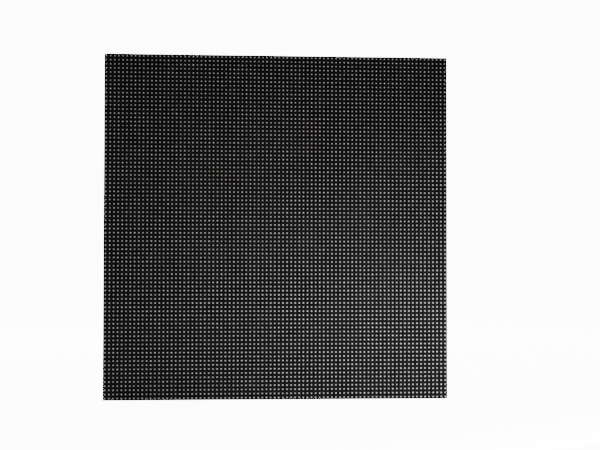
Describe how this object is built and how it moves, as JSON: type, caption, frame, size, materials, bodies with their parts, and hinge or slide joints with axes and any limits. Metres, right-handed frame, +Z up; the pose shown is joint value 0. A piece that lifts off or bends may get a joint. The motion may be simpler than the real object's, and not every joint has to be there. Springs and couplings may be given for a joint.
{
  "type": "led display module",
  "caption": "Square LED display module: a black lamp mask in front, a circuit board, and a ribbed moulded frame with inserts, magnets and connectors behind.",
  "frame": {"origin": "centre of the rear seat plane, which meets the cabinet; also the centre of the four insert bores", "axes": "+Y points out of the rear, so the display faces -Y; +Z is up in the picture; +X is to the right seen from the front"},
  "size_m": [0.25, 0.0197, 0.25],
  "materials": {
    "mask_plastic": "fine matt texture",
    "board_laminate": "satin solder mask",
    "chip_resin": "matt",
    "capacitor_ceramic": "satin",
    "resistor_ceramic": "satin",
    "can_aluminium": "satin",
    "header_plastic": "satin",
    "supply_plastic": "satin",
    "contact_gold": "polished",
    "contact_tin": "satin",
    "frame_plastic": "fine matt texture",
    "insert_brass": "satin",
    "nut_steel": "satin",
    "screw_steel": "satin",
    "magnet_nickel": "bright nickel plate",
    "lamp_package": "matt, on the lamps that the finished model adds",
    "lamp_resin": "satin resin",
    "printed_ink": "matt white print on the board"
  },
  "bodies": {
    "root": {"front_mask": "mask_plastic", "circuit_board": "board_laminate", "lamps_upper_left": "lamp_resin", "lamps_upper_right": "lamp_resin", "lamps_lower_left": "lamp_resin", "lamps_lower_right": "lamp_resin", "driver_chips": "chip_resin", "row_driver_chips": "chip_resin", "buffer_chips": "chip_resin", "decoupling_capacitors": "capacitor_ceramic", "resistor_arrays": "resistor_ceramic", "bulk_capacitors": "can_aluminium", "power_header": "supply_plastic", "power_pins": "contact_tin", "signal_in_header": "header_plastic", "signal_in_pins": "contact_gold", "signal_out_header": "header_plastic", "signal_out_pins": "contact_gold", "rear_frame": "frame_plastic", "mounting_inserts": "insert_brass", "board_nuts": "nut_steel", "frame_screws": "screw_steel", "magnets": "magnet_nickel"}
  },
  "joints": []
}
